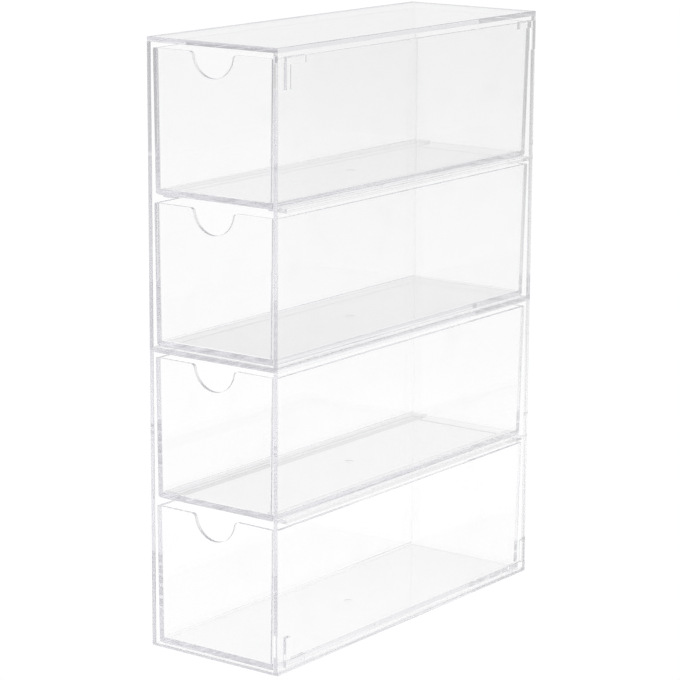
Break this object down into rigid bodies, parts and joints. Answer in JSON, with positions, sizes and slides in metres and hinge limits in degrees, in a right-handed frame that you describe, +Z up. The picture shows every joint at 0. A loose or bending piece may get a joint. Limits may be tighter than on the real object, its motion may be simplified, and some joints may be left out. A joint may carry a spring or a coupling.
{
  "type": "glasses organizer with drawers",
  "caption": "Tall narrow clear acrylic case of bonded sheets in two tiers, with open-topped trays that slide out of its front by half-round finger notches to store folded glasses.",
  "frame": {"origin": "centre of the case's footprint, on the surface that it stands on", "axes": "+Z up along the height, +X to the right across the narrow front, drawers open towards -Y"},
  "size_m": [0.0662, 0.18, 0.25],
  "materials": {
    "clear_sheet": "clear colourless acrylic sheet, polished faces and edges",
    "clear_moulding": "clear colourless moulded acrylic, glossy"
  },
  "bodies": {
    "case": {"base_plate": "clear_sheet", "middle_plate": "clear_sheet", "top_plate": "clear_sheet", "lower_left_panel": "clear_sheet", "lower_right_panel": "clear_sheet", "lower_back_panel": "clear_sheet", "upper_left_panel": "clear_sheet", "upper_right_panel": "clear_sheet", "upper_back_panel": "clear_sheet", "lower_left_rail": "clear_sheet", "lower_right_rail": "clear_sheet", "upper_left_rail": "clear_sheet", "upper_right_rail": "clear_sheet"},
    "drawer_1": {"drawer_1": "clear_moulding"},
    "drawer_2": {"drawer_2": "clear_moulding"},
    "drawer_3": {"drawer_3": "clear_moulding"},
    "drawer_4": {"drawer_4": "clear_moulding"}
  },
  "joints": [
    {"name": "drawer_1_slide", "type": "slide", "parent": "case", "child": "drawer_1", "axis": [0, -1, 0], "range_m": [0, 0.15]},
    {"name": "drawer_2_slide", "type": "slide", "parent": "case", "child": "drawer_2", "axis": [0, -1, 0], "range_m": [0, 0.15]},
    {"name": "drawer_3_slide", "type": "slide", "parent": "case", "child": "drawer_3", "axis": [0, -1, 0], "range_m": [0, 0.15]},
    {"name": "drawer_4_slide", "type": "slide", "parent": "case", "child": "drawer_4", "axis": [0, -1, 0], "range_m": [0, 0.15]}
  ]
}
